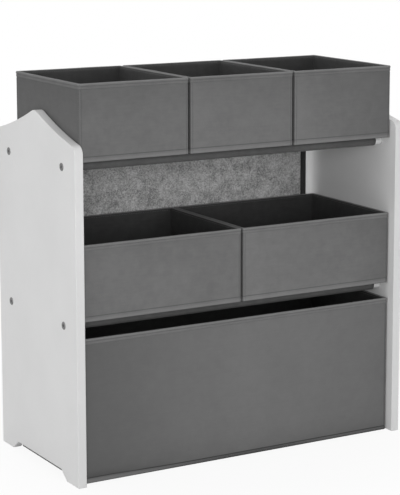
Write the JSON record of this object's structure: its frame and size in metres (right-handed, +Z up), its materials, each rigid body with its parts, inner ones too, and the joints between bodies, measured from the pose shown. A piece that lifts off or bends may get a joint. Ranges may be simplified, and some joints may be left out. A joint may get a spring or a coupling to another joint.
{
  "type": "toy storage organizer",
  "caption": "Free-standing toy rack: gabled side panels joined by tubes, cloth slings carrying rows of open cloth bins, and one wide bin on the floor.",
  "frame": {"origin": "on the floor, under the middle of the rack", "axes": "+X to the right seen from the front, +Y to the back, +Z up"},
  "size_m": [0.6266, 0.295, 0.643],
  "materials": {
    "white_panel": "satin white paint on fibreboard",
    "white_tube": "white powder coat",
    "tube_insert": "moulded",
    "panel_screw": "zinc plated",
    "sling_cloth": "dark grey non-woven cloth",
    "back_felt": "mottled grey felt",
    "edging_cloth": "dark woven tape",
    "bin_cloth": "grey non-woven cloth",
    "lining_cloth": "grey non-woven cloth",
    "stiffener_board": "plain brown fibreboard",
    "base_board": "cloth covered board"
  },
  "bodies": {
    "frame": {"left_side_panel": "white_panel", "right_side_panel": "white_panel", "upper_front_tube": "white_tube", "upper_rear_tube": "white_tube", "middle_front_tube": "white_tube", "middle_rear_tube": "white_tube", "left_tube_inserts": "tube_insert", "right_tube_inserts": "tube_insert", "left_panel_screws": "panel_screw", "right_panel_screws": "panel_screw", "upper_shelf_sling": "sling_cloth", "middle_shelf_sling": "sling_cloth", "back_panel": "back_felt", "back_panel_left_edging": "edging_cloth", "back_panel_right_edging": "edging_cloth"},
    "upper_left_bin": {"upper_left_bin_shell": "bin_cloth", "upper_left_bin_wall_boards": "stiffener_board", "upper_left_bin_lining": "lining_cloth", "upper_left_bin_rim_binding": "bin_cloth", "upper_left_bin_base_board": "base_board"},
    "upper_center_bin": {"upper_center_bin_shell": "bin_cloth", "upper_center_bin_wall_boards": "stiffener_board", "upper_center_bin_lining": "lining_cloth", "upper_center_bin_rim_binding": "bin_cloth", "upper_center_bin_base_board": "base_board"},
    "upper_right_bin": {"upper_right_bin_shell": "bin_cloth", "upper_right_bin_wall_boards": "stiffener_board", "upper_right_bin_lining": "lining_cloth", "upper_right_bin_rim_binding": "bin_cloth", "upper_right_bin_base_board": "base_board"},
    "middle_left_bin": {"middle_left_bin_shell": "bin_cloth", "middle_left_bin_wall_boards": "stiffener_board", "middle_left_bin_lining": "lining_cloth", "middle_left_bin_rim_binding": "bin_cloth", "middle_left_bin_base_board": "base_board"},
    "middle_right_bin": {"middle_right_bin_shell": "bin_cloth", "middle_right_bin_wall_boards": "stiffener_board", "middle_right_bin_lining": "lining_cloth", "middle_right_bin_rim_binding": "bin_cloth", "middle_right_bin_base_board": "base_board"},
    "lower_bin": {"lower_bin_shell": "bin_cloth", "lower_bin_wall_boards": "stiffener_board", "lower_bin_lining": "lining_cloth", "lower_bin_rim_binding": "bin_cloth", "lower_bin_base_board": "base_board"}
  },
  "joints": [
    {"name": "upper_left_bin_lift", "type": "slide", "parent": "frame", "child": "upper_left_bin", "axis": [0, 0, 1], "range_m": [0, 0.14]},
    {"name": "upper_center_bin_lift", "type": "slide", "parent": "frame", "child": "upper_center_bin", "axis": [0, 0, 1], "range_m": [0, 0.14]},
    {"name": "upper_right_bin_lift", "type": "slide", "parent": "frame", "child": "upper_right_bin", "axis": [0, 0, 1], "range_m": [0, 0.14]},
    {"name": "middle_left_bin_pull", "type": "slide", "parent": "frame", "child": "middle_left_bin", "axis": [0, -1, 0], "range_m": [0, 0.26]},
    {"name": "middle_right_bin_pull", "type": "slide", "parent": "frame", "child": "middle_right_bin", "axis": [0, -1, 0], "range_m": [0, 0.26]},
    {"name": "lower_bin_pull", "type": "slide", "parent": "frame", "child": "lower_bin", "axis": [0, -1, 0], "range_m": [0, 0.26]}
  ]
}
